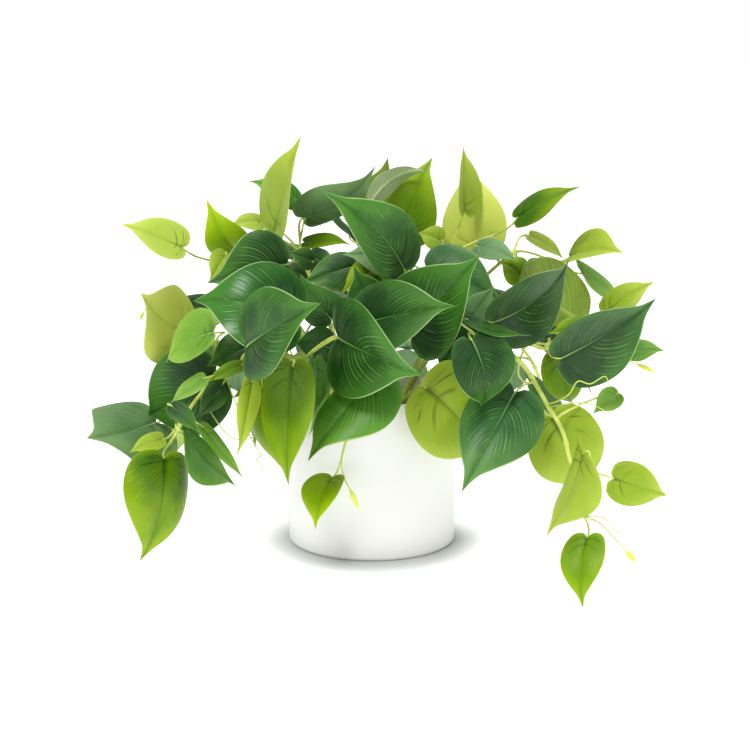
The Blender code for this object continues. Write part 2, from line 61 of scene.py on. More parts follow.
# Floor, in metres: its size, how far back its middle lies, and the soft contact shadow's middle and reach.
FLOOR_SIZE = 14.0
FLOOR_BACK = 3.0
SHADOW_BACK = -0.015
SHADOW_SPAN = (0.046, 0.100)
GLOW_SPAN = (0.052, 0.100)
FLOOR_GLOW = 0.80
SHADOW_COLOUR = (0.58, 0.58, 0.59, 1.0)
FLOOR_COLOUR = (0.92, 0.92, 0.92, 1.0)

# Pot and soil, in millimetres.
POT_RADIUS = 60.0
POT_HEIGHT = 111.0
POT_WALL = 4.0
POT_FLOOR = 5.0
POT_INSIDE_ROUND = 3.0
FOOT_ROUND = 3.0
FOOT_RING = [(52.0, 0.0), (50.6, 0.6), (0.0, 0.6)]
RIM_ROUND = 1.6
POT_SEGMENTS = 128
SOIL_EDGE = 94.0
SOIL_CROWN = 96.0
SOIL_BOTTOM = 5.5
SOIL_ROUND = 3.0
SOIL_SEGMENTS = 96
SOIL_CRUMBLE = 1.1
CRUMBLE_SCALE = 320
FIT_GAP = 0.3
BARK_CHIPS = 420
BARK_SEED = 7
BARK_INSET = 4.0
BARK_SINK = 0.4

# Vines and stalks, in millimetres.
VINE_BASE_RADIUS = 1.9
VINE_END_RADIUS = 1.2
STALK_RADIUS = 0.85
STALK_SWELL = 1.35
STALK_LEAST = 14.0
STALK_SWING = 0.4
STALK_LEAN = 0.5
STALK_INTO_LEAF = 0.6
NODE_SPACING = 26.0
NODE_SWELL = 0.55
NODE_REACH = 1.8
BUD_STALK_RADIUS = 0.5
TENDRIL_TAPER = 0.45
VINE_SIDES, STALK_SIDES, TENDRIL_SIDES, BUD_SIDES = 12, 8, 6, 12
VINE_STEPS, STALK_STEPS, TENDRIL_STEPS, BUD_STEPS = 24, 16, 10, 12
JOINING_STEPS = 2
STEM, TENDRIL, BUD = 0, 1, 2

# Leaf blade: margin and midrib stations from the stalk to the tip, as fractions of
# the blade length (along) and of its half width (across).
MARGIN = [
    (0.0, 0.0), (-0.066, 0.19), (-0.07, 0.42), (-0.045, 0.65), (0.03, 0.84), (0.14, 0.96), (0.28, 1.0),
    (0.43, 0.93), (0.58, 0.73), (0.72, 0.45), (0.825, 0.20), (0.925, 0.07), (1.0, 0.0),
]
MIDRIB = [0.0, 0.0, 0.0, 0.0, 0.0, 0.01, 0.03, 0.08, 0.17, 0.30, 0.47, 0.70, 1.0]
ROWS = 56
COLUMNS = 11
VEINS = 19
SWEEP = 1.6
RIM_SPAN = (0.968, 0.986)
LEAF_SEED = 100

# Relief of the blade, in millimetres.  Leaves shorter than FULL_LENGTH have smaller waves.
VALLEY = 0.28
BLADE_HALF = 0.22
FULL_LENGTH = 60
RIPPLE = 0.9
CURL = (-0.6, 1.2)
CURL_FROM = 0.62
SWAY = 0.02
GROOVE_DEPTH, GROOVE_WIDTH = 0.45, 1.1
RIB_HEIGHT, RIB_WIDTH = 0.55, 0.9
VEIN_RELIEF = 0.22

# Each vine, without the "vine_" of its CAD node: the points its centre line runs through, in millimetres,
# from the soil outwards.
VINES = {
    "left_low": [(-24, -14, 98), (-50, -36, 128), (-90, -52, 137), (-117, -62, 119),
        (-134, -66, 92), (-138, -69, 86)],
    "left_mid": [(-30, -4, 98), (-48, -14, 132), (-89, -25, 146), (-122, -20, 150)],
    "left_up": [(-28, 10, 98), (-52, 24, 150), (-88, 40, 178), (-110, 34, 192)],
    "up_left": [(-14, 6, 98), (-28, 10, 150), (-44, 8, 190), (-51, 5, 208)],
    "front_left": [(-16, -26, 98), (-32, -54, 124), (-50, -76, 142), (-66, -92, 146)],
    "front": [(-3, -32, 98), (-8, -56, 122), (-10, -72, 134), (-12, -78, 126), (-16, -79, 96)],
    "centre": [(6, -16, 98), (12, -28, 140), (22, -42, 178), (28, -48, 196)],
    "up_right": [(8, 10, 98), (20, 18, 150), (40, 20, 188), (56, 20, 202)],
    "right_up": [(20, 2, 98), (44, 2, 150), (78, 6, 188), (100, 5, 208)],
    "right": [(26, -10, 98), (52, -24, 134), (88, -44, 154), (118, -56, 150)],
    "right_low": [(14, -26, 98), (40, -46, 128), (80, -58, 150), (101, -62, 142), (119, -64, 114),
        (130, -68, 95), (135, -74, 76), (143, -92, 60), (139, -122, 51)],
    "back_left": [(-22, 22, 98), (-50, 48, 138), (-88, 78, 144), (-118, 98, 116), (-130, 108, 84)],
    "back": [(-2, 30, 98), (-4, 58, 132), (-6, 92, 138), (-4, 118, 108), (2, 128, 74)],
    "back_right": [(22, 22, 98), (54, 46, 138), (94, 76, 142), (122, 96, 112), (134, 104, 82)],
    "back_top": [(2, 16, 98), (0, 30, 150), (-6, 44, 192), (-8, 50, 206)],
}

# Each leaf: name, its vine, tone, stalk end, tip, blade width, the way its face looks (turn from the front
# towards +X, then lift, in degrees), rise of the midrib over the straight line, and droop of the margins.
# Lengths in millimetres.  Each of these leaves has a CAD node of its own name.
LEAVES = [
    ("leaf_quill", "left_up", "soft_lime", (-133, -1, 212), (-175, -7, 230), 35, (-10, 51), 0.5, 0.1),
    ("leaf_vivid", "left_up", "vivid", (-100, 43, 205), (-118, 19, 245), 31, (-14, 26), 9.5, 0.25),
    ("leaf_tall", "up_left", "lime", (-69, 14, 221), (-49, -10, 291), 57, (25, 67), 1.5, 0.1),
    ("leaf_crest_left", "up_left", "grey", (-47, 24, 230), (3, 19, 268), 40, (48, -8), 7.5, 0.6),
    ("leaf_crest_pale", "back_top", "pale", (1, 28, 244), (41, 22, 263), 24, (180, 50), 9.5, 0.3),
    ("leaf_crown", "back_top", "olive", (22, 41, 215), (44, 43, 272), 48, (-24, 17), 6, 0.3),
    ("leaf_high", "right_up", "butter", (75, 40, 203), (69, 43, 269), 47, (-2, 15), 5.5, 0.25),
    ("leaf_spear", "up_right", "lime", (66, 18, 235), (65, 24, 282), 38, (61, 8), -0.5, 0.0),
    ("leaf_wing", "up_right", "bright", (103, 10, 232), (146, -2, 255), 26, (-10, 50), 4, 0.4),
    ("leaf_flag", "right_up", "lime", (142, 25, 202), (177, -7, 209), 42, (7, 50), 4.5, 0.05),
    ("leaf_drop", "up_right", "fresh", (150, 12, 192), (186, 38, 163), 45, (53, 56), 2, 0.3),
    ("leaf_edge", "right", "lime", (165, -7, 167), (199, -12, 190), 24, (-10, 40), 3, 0.3),
    ("leaf_right", "right", "deep", (126, -83, 149), (190, -76, 188), 61, (32, -14), 4, 0.0),
    ("leaf_back_right_a", "right", "olive", (145, -10, 162), (103, -53, 210), 62, (186, -25), 13, 0.15),
    ("leaf_shoulder", "right", "deep", (81, -81, 173), (134, -52, 212), 60, (33, -24), 8.5, 0.1),
    ("leaf_heart", "centre", "deep", (27, -68, 163), (70, -104, 221), 58, (1, 28), 1, 0.0),
    ("leaf_blue", "centre", "blue", (38, -26, 201), (91, -34, 179), 46, (5, 22), 7, 0.35),
    ("leaf_top", "centre", "deep", (22, -58, 205), (-34, -81, 261), 45, (3, 31), 13, 0.05),
    ("leaf_under_top", "centre", "grey", (21, -42, 208), (-20, -48, 214), 31, (-5, 35), 3, 0.3),
    ("leaf_mid", "front_left", "deep", (-8, -89, 173), (54, -114, 190), 52, (0, 33), 3, 0.2),
    ("leaf_bright", "front_left", "deep", (-22, -94, 165), (32, -149, 151), 66, (-4, -7), 6, 0.1),
    ("leaf_front_low", "front", "grass", (3, -92, 140), (-42, -117, 87), 58, (-43, 23), 2.5, 0.65),
    ("leaf_hanging", "front", "vivid", (-27, -72, 64), (-38, -95, 34), 31, (-32, 8), 5, 0.0),
    ("leaf_long", "front_left", "olive", (-51, -109, 149), (-55, -119, 70), 60, (-52, 3), 1.5, 0.25),
    ("leaf_sliver", "front_left", "grass", (-38, -80, 147), (-42, -88, 97), 39, (71, 2), 4, 0.2),
    ("leaf_lower", "left_low", "olive", (-74, -75, 127), (-60, -67, 67), 49, (-46, 8), 4.5, 0.5),
    ("leaf_front", "left_low", "deep", (-80, -115, 164), (-31, -164, 200), 59, (-14, 28), 3, 0.2),
    ("leaf_round", "front_left", "glossy", (-50, -81, 176), (-119, -75, 186), 65, (-15, 36), 14, 0.25),
    ("leaf_arched", "up_left", "deep", (-58, -41, 206), (-111, -60, 196), 53, (-10, 9), 8.5, 0.45),
    ("leaf_lime_left", "left_mid", "butter", (-133, -10, 151), (-155, -58, 189), 57,
        (-12, 34), -2.5, 0.4),
    ("leaf_green_left", "left_mid", "fresh", (-107, -64, 163), (-142, -43, 138), 44, (-27, 46), 4, 0.05),
    ("leaf_low_left", "left_low", "deep", (-108, -43, 129), (-159, -13, 94), 61, (-7, 4), 11, 0.2),
    ("leaf_far_left", "left_mid", "grey", (-153, -14, 89), (-192, -82, 94), 68, (-6, 30), -2, 0.6),
    ("leaf_trail_left", "left_low", "bright", (-140, -82, 80), (-158, -89, 9), 57, (45, -2), 9, 0.55),
    ("leaf_fold_left", "left_low", "grass", (-124, -105, 104), (-92, -62, 55), 50, (17, 54), -3, 0.45),
    ("leaf_olive", "right_low", "lime", (37, -75, 127), (78, -35, 76), 65, (7, 18), 14, 0.25),
    ("leaf_under_heart", "right_low", "deep", (66, -99, 164), (72, -88, 117), 45, (21, 22), 14, 0.1),
    ("leaf_green_right", "right_low", "blue", (96, -80, 125), (59, -117, 66), 55, (-13, 20), 6.5, 0.7),
    ("leaf_lime_right", "right_low", "lime", (124, -54, 102), (149, -33, 47), 53, (0, 10), 12.5, 0.1),
    ("leaf_kite", "right_low", "lime", (139, -112, 91), (116, -101, 31), 56, (-72, 29), -3, 0.6),
    ("leaf_side_right", "right_low", "lime", (166, -64, 61), (204, -60, 48), 31, (-5, 9), 5.5, 0.35),
    ("leaf_trail_right", "right_low", "spring", (138, -152, 46), (134, -173, 5), 29, (-25, 15), 7, 0.3),
    ("leaf_behind_right", "right", "olive", (128, -53, 145), (139, -40, 109), 29, (-19, 13), 11, 0.35),
]

# The smaller leaves and the leaves of the far side, which the CAD moulds in one piece with their vine.
MOULDED_LEAVES = [
    ("curl", "left_up", "lime", (-104, 12, 206), (-115, 0, 188), 18, (20, 25), 2, 0.35),
    ("peek", "up_left", "soft_lime", (-80, 45, 225), (-103, 35, 223), 17, (-20, 35), 2, 0.35),
    ("crest_far", "up_left", "grass", (-54, 50, 240), (-90, 45, 254), 25, (-10, 50), 4, 0.4),
    ("slip_left", "up_left", "deep", (-41, -20, 205), (-58, -28, 213), 16, (-10, 30), 2, 0.35),
    ("slip_right", "up_left", "deep", (-44, -4, 207), (-24, -18, 197), 19, (0, 30), 2, 0.35),
    ("bridge", "up_left", "olive", (-48, 22, 213), (-14, 18, 211), 24, (0, 70), 3, 0.35),
    ("shade", "front_left", "deep", (-27, -54, 170), (-48, -60, 202), 30, (-20, 15), 4, 0.35),
    ("small_low", "left_low", "lime", (-80, -82, 133), (-90, -94, 84), 18, (40, 10), 3, 0.3),
    ("small_light", "left_low", "fresh", (-112, -80, 135), (-135, -86, 118), 14, (-20, 40), 2, 0.3),
    ("small_dark", "left_low", "deep", (-132, -98, 120), (-113, -106, 103), 14, (10, 40), 2, 0.3),
    ("small_lime", "left_low", "lime", (-143, -64, 89), (-165, -70, 81), 17, (-10, 50), 2, 0.3),
    ("fold_back", "left_low", "fresh", (-116, -54, 95), (-88, -50, 56), 11, (20, 25), 3, 0.3),
    ("knot", "right_low", "fresh", (169, -50, 118), (151, -58, 105), 17, (0, 30), 2, 0.3),
    ("spur", "right", "grass", (176, -48, 147), (200, -56, 149), 18, (10, 40), 2, 0.3),
    ("drop_pale", "right_up", "soft_lime", (114, 30, 217), (139, 25, 199), 15, (30, 40), 2, 0.3),
    ("grey", "right_up", "grey", (74, -7, 214), (102, -19, 204), 21, (10, 45), 3, 0.35),
    ("grey_low", "centre", "grey", (66, -48, 168), (83, -54, 194), 22, (5, 20), 3, 0.35),
    ("side_left_high", "left_mid", "deep", (-112, 14, 164), (-158, 34, 158), 44, (275, 45), 6, 0.4),
    ("side_left_low", "left_mid", "grass", (-112, 0, 136), (-146, 14, 92), 42, (280, 20), 6, 0.4),
    ("side_right_high", "right_up", "grass", (118, 34, 190), (158, 52, 166), 42, (70, 40), 6, 0.4),
    ("side_right_mid", "right", "deep", (126, -39, 150), (165, -13, 128), 43, (75, 35), 6, 0.4),
    ("side_right_low", "right", "grass", (112, -18, 118), (146, 4, 72), 42, (85, 20), 6, 0.4),
    ("bank_left_a", "left_up", "deep", (-67, 61, 166), (-105, 103, 159), 51, (205, 45), 8, 0.45),
    ("bank_left_b", "back_left", "grass", (-108, 92, 148), (-154, 112, 122), 46, (235, 30), 7, 0.4),
    ("bank_left_c", "back_left", "deep", (-122, 72, 130), (-164, 66, 92), 42, (270, 25), 6, 0.4),
    ("bank_left_d", "back_left", "deep", (-98, 108, 114), (-84, 140, 62), 48, (190, 15), 7, 0.4),
    ("bank_left_e", "back_left", "olive", (-60, 82, 118), (-52, 116, 66), 46, (180, 15), 7, 0.4),
    ("bank_left_f", "back_left", "lime", (-138, 114, 72), (-160, 128, 18), 42, (225, 20), 6, 0.4),
    ("bank_a", "back", "deep", (-8, 105, 155), (-35, 149, 149), 55, (188, 45), 8, 0.45),
    ("bank_b", "back", "grass", (12, 100, 146), (48, 138, 122), 50, (165, 30), 7, 0.4),
    ("bank_c", "back", "deep", (-14, 118, 122), (-36, 146, 76), 48, (190, 15), 7, 0.4),
    ("bank_d", "back", "bright", (6, 134, 66), (10, 152, 12), 42, (180, 15), 6, 0.4),
    ("bank_e", "back", "blue", (16, 120, 110), (40, 142, 58), 44, (170, 15), 6, 0.4),
    ("bank_right_a", "back_right", "deep", (68, 65, 163), (99, 111, 155), 52, (155, 45), 8, 0.45),
    ("bank_right_b", "back_right", "grass", (110, 88, 146), (156, 108, 122), 46, (125, 30), 7, 0.4),
    ("bank_right_c", "back_right", "deep", (124, 66, 130), (166, 56, 92), 42, (90, 25), 6, 0.4),
    ("bank_right_d", "back_right", "deep", (100, 106, 112), (88, 140, 60), 48, (170, 15), 7, 0.4),
    ("bank_right_e", "back_right", "lime", (140, 112, 70), (160, 128, 18), 40, (135, 20), 6, 0.4),
    ("back_top_a", "back_top", "deep", (-16, 64, 212), (-52, 100, 226), 48, (200, 40), 8, 0.45),
    ("back_top_b", "back_top", "olive", (0, 66, 218), (12, 88, 268), 42, (175, 20), 6, 0.35),
    ("back_top_c", "back_top", "deep", (14, 62, 200), (56, 92, 206), 50, (160, 40), 8, 0.45),
    ("back_top_d", "back_top", "grass", (-32, 60, 190), (-84, 78, 192), 50, (215, 45), 8, 0.4),
    ("back_top_e", "back_top", "deep", (-4, 78, 184), (-20, 122, 182), 52, (185, 45), 8, 0.45),
    ("inner_a", "back_top", "deep", (12, 31, 183), (48, 55, 181), 42, (120, 75), 6, 0.45),
    ("inner_c", "up_left", "deep", (-42, 19, 183), (-76, 23, 191), 40, (300, 65), 7, 0.45),
    ("inner_d", "right_up", "grass", (58, -10, 168), (94, -22, 160), 40, (40, 65), 6, 0.45),
    ("inner_e", "left_up", "deep", (-70, 2, 170), (-112, -6, 156), 44, (300, 55), 6, 0.45),
    ("inner_f", "right_up", "deep", (72, 22, 172), (110, 36, 154), 46, (60, 50), 6, 0.45),
    ("inner_g", "back_left", "grass", (-44, 58, 158), (-84, 52, 146), 44, (240, 60), 6, 0.45),
    ("inner_h", "back_right", "olive", (46, 54, 160), (84, 46, 146), 44, (120, 60), 6, 0.45),
    ("inner_i", "back", "deep", (8, 58, 152), (44, 84, 150), 46, (160, 60), 6, 0.45),
    ("inner_j", "centre", "deep", (2, -55, 174), (-12, -62, 208), 32, (0, 15), 4, 0.4),
    ("skirt_a", "left_mid", "deep", (-59, 24, 122), (-71, 34, 84), 34, (280, 15), 6, 0.4),
    ("skirt_b", "left_low", "grass", (-68, -22, 118), (-82, -28, 72), 38, (300, 15), 5, 0.4),
    ("skirt_c", "right", "deep", (74, 2, 126), (94, 12, 80), 44, (85, 15), 6, 0.4),
    ("skirt_d", "back_right", "lime", (80, 42, 122), (96, 58, 76), 42, (110, 15), 6, 0.4),
    ("skirt_e", "back_left", "lime", (-78, 48, 122), (-94, 64, 76), 42, (250, 15), 6, 0.4),
    ("inner_b", "centre", "grass", (6, -27, 195), (-30, -3, 197), 42, (0, 80), 6, 0.45),
    ("gap_a", "front_left", "deep", (-27, -58, 151), (-54, -64, 156), 28, (0, 25), 4, 0.35),
    ("gap_b", "centre", "deep", (-11, -35, 204), (-48, -43, 193), 28, (-10, 30), 4, 0.4),
    ("gap_c", "up_right", "olive", (6, -41, 205), (-21, -47, 187), 24, (-10, 25), 4, 0.35),
    ("gap_d", "centre", "deep", (61, -56, 173), (45, -68, 135), 34, (10, 15), 4, 0.4),
    ("gap_e", "right", "deep", (90, -39, 157), (55, -47, 160), 26, (5, 20), 3, 0.4),
    ("gap_f", "left_mid", "deep", (-83, -38, 149), (-114, -46, 136), 30, (-10, 20), 4, 0.4),
    ("gap_g", "left_low", "deep", (-101, -60, 127), (-119, -66, 104), 17, (20, 15), 3, 0.35),
    ("gap_h", "left_mid", "grey", (-115, -40, 110), (-110, -42, 88), 13, (10, 15), 2, 0.3),
    ("gap_l", "left_low", "olive", (-88, -64, 141), (-113, -70, 129), 10, (0, 30), 2, 0.3),
    ("gap_m", "left_low", "olive", (-74, -48, 124), (-96, -54, 115), 13, (0, 30), 2, 0.3),
    ("spike", "back_top", "lime", (-11, 48, 238), (-13, 46, 253), 6, (0, 10), 1, 0.2),
    ("front_lobe", "right_low", "deep", (63, -92, 177), (105, -96, 167), 13, (0, 62), -3, 0.3),
    ("lime_bit", "up_right", "lime", (50, 24, 214), (33, 28, 219), 18, (0, 20), 2, 0.3),
    ("gap_n", "right_up", "olive", (106, -6, 193), (90, -2, 202), 22, (10, 20), 3, 0.35),
    ("gap_o", "right", "deep", (122, -38, 154), (103, -44, 151), 16, (0, 25), 2, 0.35),
    ("gap_p", "right", "olive", (149, -30, 161), (122, -36, 157), 18, (0, 30), 2, 0.35),
    ("top_a", "back_top", "deep", (-4, 28, 190), (-38, 20, 194), 38, (330, 70), 6, 0.45),
    ("top_c", "back_top", "grass", (-18, 43, 178), (-54, 55, 182), 42, (250, 65), 6, 0.45),
    ("top_d", "back_top", "deep", (22, 61, 172), (57, 75, 176), 42, (140, 65), 6, 0.45),
    ("bank_f", "back", "grass", (-26, 94, 130), (-60, 126, 100), 46, (205, 25), 7, 0.4),
    ("bank_g", "back", "deep", (30, 92, 130), (64, 126, 102), 46, (155, 25), 7, 0.4),
    ("bank_h", "back", "deep", (-30, 73, 170), (-66, 101, 150), 46, (205, 35), 7, 0.45),
    ("bank_i", "back_top", "grass", (26, 81, 168), (64, 105, 149), 46, (150, 35), 7, 0.45),
    ("top_b", "right_up", "deep", (34, -8, 176), (60, -20, 170), 34, (20, 72), 5, 0.45),
]


def add_object(name, data):
    """New object in the scene."""
    obj = bpy.data.objects.new(name, data)
    bpy.context.scene.collection.objects.link(obj)
    return obj


def add_mesh(name, vertices, faces, kinds):
    """New smooth mesh object, with the number of each face's material."""
    mesh = bpy.data.meshes.new(name)
    mesh.from_pydata(vertices, [], faces)
    mesh.polygons.foreach_set("material_index", kinds)
    mesh.polygons.foreach_set("use_smooth", [True] * len(faces))
    mesh.update()
    return add_object(name, mesh)


def catmull_rom(before, start, end, after, t):
    """Smooth value between start and end, for numbers, arrays or vectors."""
    return 0.5 * (
        2 * start + (end - before) * t
        + (2 * before - 5 * start + 4 * end - after) * t * t
        + (3 * start - before - 3 * end + after) * t ** 3
    )


def spline(stations, where):
    """Values of an evenly spaced row of numbers at an array of places from 0 to 1."""
    values = np.asarray(stations, float)
    last = len(values) - 1
    spot = where * last
    i = np.minimum(spot.astype(int), last - 1)
    before = values[np.maximum(i - 1, 0)]
    after = values[np.minimum(i + 2, last)]
    return catmull_rom(before, values[i], values[i + 1], after, spot - i)


def smooth_path(points, steps):
    """Curve through the given points, with this many steps between each two."""
    points = [Vector(p) for p in points]
    last = len(points) - 1
    path = []
    for i in range(last):
        before = points[max(i - 1, 0)]
        after = points[min(i + 2, last)]
        path += [catmull_rom(before, points[i], points[i + 1], after, k / steps) for k in range(steps)]
    return path + [points[last]]


def leaf_axes(base, tip, face):
    """Directions of a leaf: along it, across it and out of its face."""
    turn = math.radians(face[0])
    lift = math.radians(face[1])
    ahead = (tip - base).normalized()
    out = Vector((math.sin(turn) * math.cos(lift), -math.cos(turn) * math.cos(lift), math.sin(lift)))
    out = (out - ahead * out.dot(ahead)).normalized()
    return ahead, out.cross(ahead), out


def leaf_piece(name, base, tip, width, face, rise, droop, seed):
    """Leaf blade with an upper and a lower sheet, and rows of vertices along its side veins."""
    draw = random.Random(seed)
    base = Vector(base)
    tip = Vector(tip)
    ahead, side, out = leaf_axes(base, tip, face)
    length = (tip - base).length
    half = width / 2
    big = min(1.0, length / FULL_LENGTH)
    ripple = draw.uniform(0.5, 1.0) * RIPPLE * big
    beat = draw.uniform(1.6, 2.6)
    phase = {hand: draw.uniform(0, math.tau) for hand in (1, -1)}
    curl = draw.uniform(*CURL) * big
    sway = draw.uniform(-1.0, 1.0) * SWAY * length

    # The grid of one half: s runs from the stalk to the tip, v from the midrib to the margin.
    rows = np.linspace(0.0, 1.0, ROWS + 1)
    columns = 0.5 - 0.5 * np.cos(math.pi * np.linspace(0.0, 1.0, COLUMNS + 1))
    s = rows[:, None]
    v = columns[None, :]
    margin_along = spline([m[0] for m in MARGIN], rows)
    margin_across = np.maximum(spline([m[1] for m in MARGIN], rows), 0.0)
    rib_along = spline(MIDRIB, rows)
    along = rib_along[:, None] + (margin_along - rib_along)[:, None] * v ** SWEEP
    spread = margin_across[:, None] * (1 - (1 - v) ** SWEEP)
    away = spread * half
    to_tip = np.clip(1 - along, 0, 1)
    fade = np.sin(s * math.pi) ** 0.6
    vein_wave = 0.5 - 0.5 * np.cos(math.tau * VEINS * s)
    groove = GROOVE_DEPTH * np.exp(-(away / GROOVE_WIDTH) ** 2) * to_tip ** 0.5
    relief = vein_wave * np.sin(v * math.pi) ** 0.7 * fade
    body = BLADE_HALF * (1 - v ** 6) * np.minimum(1.0, 8 * s) * np.minimum(1.0, 12 * (1 - s))
    rib = RIB_HEIGHT * np.exp(-(away / RIB_WIDTH) ** 2) * to_tip ** 0.7 * np.minimum(1.0, 8 * s)

    def sheet_points(hand, sheet):
        """Points of one half (hand 1 or -1) of the upper or lower sheet (1 or -1)."""
        height = VALLEY * spread * half - droop * spread * spread * half + 4 * rise * along * (1 - along)
        height = height + np.sin(math.tau * beat * s + phase[hand]) * ripple * v ** 3 * fade
        height = height - curl * np.clip((along - CURL_FROM) / (1 - CURL_FROM), 0, 1) ** 2
        height = height - groove
        height = height + VEIN_RELIEF * big * relief
        height = height + sheet * (body if sheet > 0 else body + rib)
        lateral = hand * spread * half + sway * np.sin(np.clip(along, 0, 1) * math.pi)
        return np.stack([along * length, lateral, height], axis=-1)

    def key(hand, sheet, i, j):
        """What a vertex is known by: the four quarters share the ends, the margin and the midrib."""
        if i in (0, ROWS):
            return i
        if j == COLUMNS:
            return hand, i
        return ("rib", sheet, i) if j == 0 else (hand, sheet, i, j)

    vertices, faces, spots, kinds = [], [], [], []
    ids = {}
    for hand, sheet in ((1, 1), (1, -1), (-1, 1), (-1, -1)):
        points = sheet_points(hand, sheet)
        for i in range(ROWS + 1):
            for j in range(COLUMNS + 1):
                mark = key(hand, sheet, i, j)
                if mark not in ids:
                    ids[mark] = len(vertices)
                    x, y, z = points[i, j]
                    vertices.append((base + ahead * x + side * y + out * z) * MM)
        for i in range(ROWS):
            for j in range(COLUMNS):
                ring = {}
                for a, b in ((i, j), (i, j + 1), (i + 1, j + 1), (i + 1, j)):
                    ring.setdefault(ids[key(hand, sheet, a, b)], (rows[a], 0.5 + 0.5 * hand * columns[b]))
                order = list(ring)
                if hand * sheet > 0:
                    order.reverse()
                faces.append(order)
                spots += [value for corner_id in order for value in ring[corner_id]]
                kinds.append(0 if sheet > 0 else 1)
    blade = add_mesh(name, vertices, faces, kinds)
    blade.data.uv_layers.new(name="LeafMap").data.foreach_set("uv", spots)
    return blade


def stalk_route(vine_path, base, tip, face, rise, steps):
    """Curve from the vine to the leaf, arriving from behind the blade in line with its midrib."""
    ahead, _, out = leaf_axes(base, tip, face)
    slope = 4 * rise / (tip - base).length
    open_points = [spot for spot in vine_path[1:] if (spot - base).length > STALK_LEAST]
    start = min(open_points, key=lambda spot: (spot - base).length)
    arrival = (ahead + out * (slope + STALK_LEAN)).normalized()
    end = base + ahead * STALK_INTO_LEAF
    pull = (end - start).length * STALK_SWING
    first = start + (end - start) * 0.3 + Vector((0, 0, pull * 0.3))
    second = end - arrival * pull
    path = []
    for k in range(steps + 1):
        t = k / steps
        path.append(
            start * (1 - t) ** 3 + first * 3 * t * (1 - t) ** 2 + second * 3 * t * t * (1 - t) + end * t ** 3
        )
    return path


class Tubes:
    """Collects round tubes of changing thickness into one mesh."""

    def __init__(self):
        self.vertices = []
        self.faces = []
        self.kinds = []

    def add(self, path, radii, sides, kind):
        last = len(path) - 1
        first = len(self.vertices)
        tangents = [(path[min(i + 1, last)] - path[max(i - 1, 0)]).normalized() for i in range(last + 1)]
        up = Vector((0, 0, 1)) if abs(tangents[0].z) < 0.8 else Vector((1, 0, 0))
        for spot, radius, tangent in zip(path, radii, tangents):
            across = tangent.cross(up).normalized()
            up = across.cross(tangent).normalized()
            for k in range(sides):
                angle = math.tau * k / sides
                around = across * math.cos(angle) + up * math.sin(angle)
                self.vertices.append((spot + around * radius) * MM)
        for ring in range(first, first + last * sides, sides):
            for k in range(sides):
                a = ring + k
                b = ring + (k + 1) % sides
                self.faces.append((a, b, b + sides, a + sides))
        end = first + last * sides
        self.faces.append(tuple(reversed(range(first, first + sides))))
        self.faces.append(tuple(range(end, end + sides)))
        self.kinds += [kind] * (last * sides + 2)

    def build(self, name, materials):
        obj = add_mesh(name, self.vertices, self.faces, self.kinds)
        for material in materials:
            obj.data.materials.append(material)
        return obj


# --- materials ---

# Noise of the looks: scale, detail and roughness.
LEAF_CLOUD = (30.0, 3.0, 0.55)
LEAF_GRAIN = (900.0, 2.0, 0.5)
VEIN_DRIFT = (45.0, 2.0, 0.5)
VEIN_PATCHES = (60.0, 2.0, 0.5)
CREASE_PATCHES = (55.0, 1.0, 0.5)
BACK_CLOUD = (40.0, 3.0, 0.55)
STEM_PATCHES = (60.0, 4.0, 0.6)
STEM_SPECKS = (700.0, 3.0, 0.7)
GLAZE_CLOUD = (9.0, 3.0, 0.5)
GLAZE_PORES = (420.0, 2.0, 0.5)
GLAZE_WAVES = (110.0, 3.0, 0.6)
SOIL_CRUMBS = (260.0, 5.0, 0.7)
SOIL_PATCHES = (55.0, 3.0, 0.6)

# Colours, all as display values from 0 to 255.
POT_COLOURS = ((239, 238, 237), (233, 232, 230), (214, 212, 206))
SOIL_COLOURS = ((38, 27, 19), (78, 58, 40))
BARK_COLOURS = ((58, 38, 24), (112, 82, 54))
STEM_COLOURS = ((200, 212, 104), (154, 168, 60))
TENDRIL_COLOURS = ((184, 198, 84), (160, 180, 70))
BUD_COLOURS = ((212, 218, 84), (196, 206, 76))

# Each tone: deep and light colour, vein, rim, roughness, vein contrast, and whether the midrib is dark.
LEAF_LOOKS = {
    "deep": ((16, 58, 10), (66, 120, 34), (132, 174, 90), (178, 208, 134), 0.36, 1.0, False),
    "glossy": ((14, 56, 14), (58, 114, 36), (104, 152, 72), (196, 220, 156), 0.20, 0.7, False),
    "blue": ((38, 86, 34), (92, 138, 66), (140, 176, 112), (178, 208, 142), 0.32, 1.0, False),
    "grass": ((58, 112, 26), (112, 158, 50), (150, 188, 86), (180, 208, 116), 0.34, 0.8, False),
    "fresh": ((98, 144, 44), (140, 176, 72), (168, 204, 112), (188, 216, 130), 0.40, 0.5, False),
    "bright": ((54, 98, 4), (134, 164, 4), (170, 198, 70), (176, 204, 84), 0.26, 0.4, True),
    "spring": ((92, 130, 0), (140, 172, 2), (170, 200, 60), (184, 210, 80), 0.34, 0.3, True),
    "vivid": ((140, 178, 0), (170, 200, 4), (180, 208, 60), (190, 214, 80), 0.40, 0.3, True),
    "olive": ((82, 118, 0), (138, 170, 14), (152, 176, 66), (166, 190, 78), 0.36, 0.4, True),
    "lime": ((132, 158, 36), (166, 186, 62), (180, 200, 94), (192, 212, 108), 0.38, 0.4, True),
    "soft_lime": ((156, 178, 62), (190, 206, 92), (196, 212, 116), (206, 220, 130), 0.42, 0.3, True),
    "butter": ((192, 206, 84), (222, 226, 122), (228, 232, 150), (230, 234, 156), 0.45, 0.3, False),
    "pale": ((122, 150, 88), (152, 178, 110), (178, 198, 136), (188, 208, 142), 0.45, 0.5, False),
    "grey": ((84, 122, 72), (120, 154, 96), (148, 178, 118), (166, 196, 130), 0.40, 0.8, False),
}

